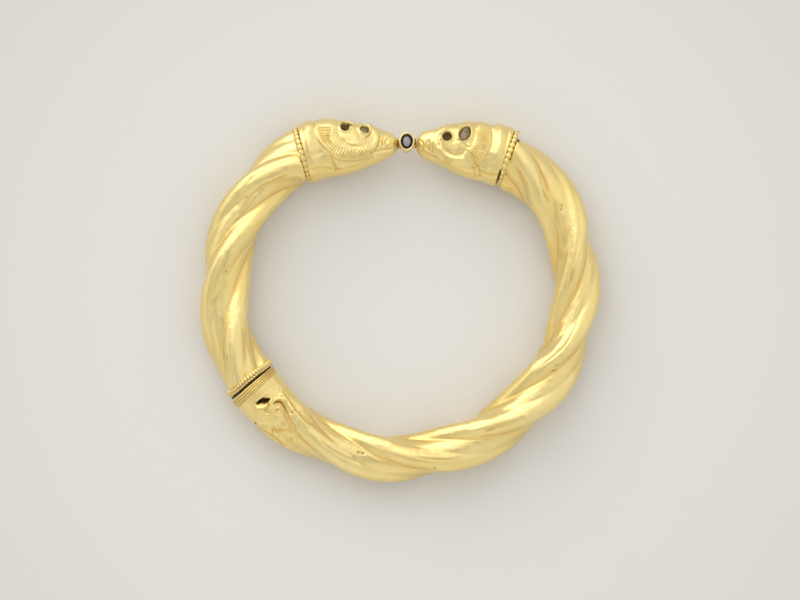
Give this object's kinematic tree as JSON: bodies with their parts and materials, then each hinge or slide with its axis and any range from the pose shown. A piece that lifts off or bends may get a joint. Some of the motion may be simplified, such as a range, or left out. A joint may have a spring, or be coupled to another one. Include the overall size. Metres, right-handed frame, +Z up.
{
  "type": "gold bangle",
  "caption": "Twisted, fluted hollow gold bangle whose ends are facing animal heads with manes, with beaded wires at the necks and a dark stone in an oval setting between the muzzles",
  "frame": {"origin": "bottom centre of the bounding box, on the surface that the bangle lies on", "axes": "+Z up out of the plane of the hoop, +X across the hoop's longest way, +Y towards the animal heads and the stone"},
  "size_m": [0.0801, 0.0732, 0.011],
  "materials": {
    "gold": "soft polished yellow gold, lightly scratched",
    "stone": "polished dark cabochon",
    "inlay_remains": "dull, crusty remains of inlay"
  },
  "bodies": {
    "root": {"long_arm": "gold", "short_arm": "gold", "left_head": "gold", "right_head": "gold", "left_neck_wire": "gold", "right_neck_wire": "gold", "seam_wire": "gold", "seam_ring": "gold", "collar": "gold", "collet": "gold", "stone": "stone", "right_ear_inlay": "inlay_remains", "left_eye_inlay": "inlay_remains"}
  },
  "joints": []
}
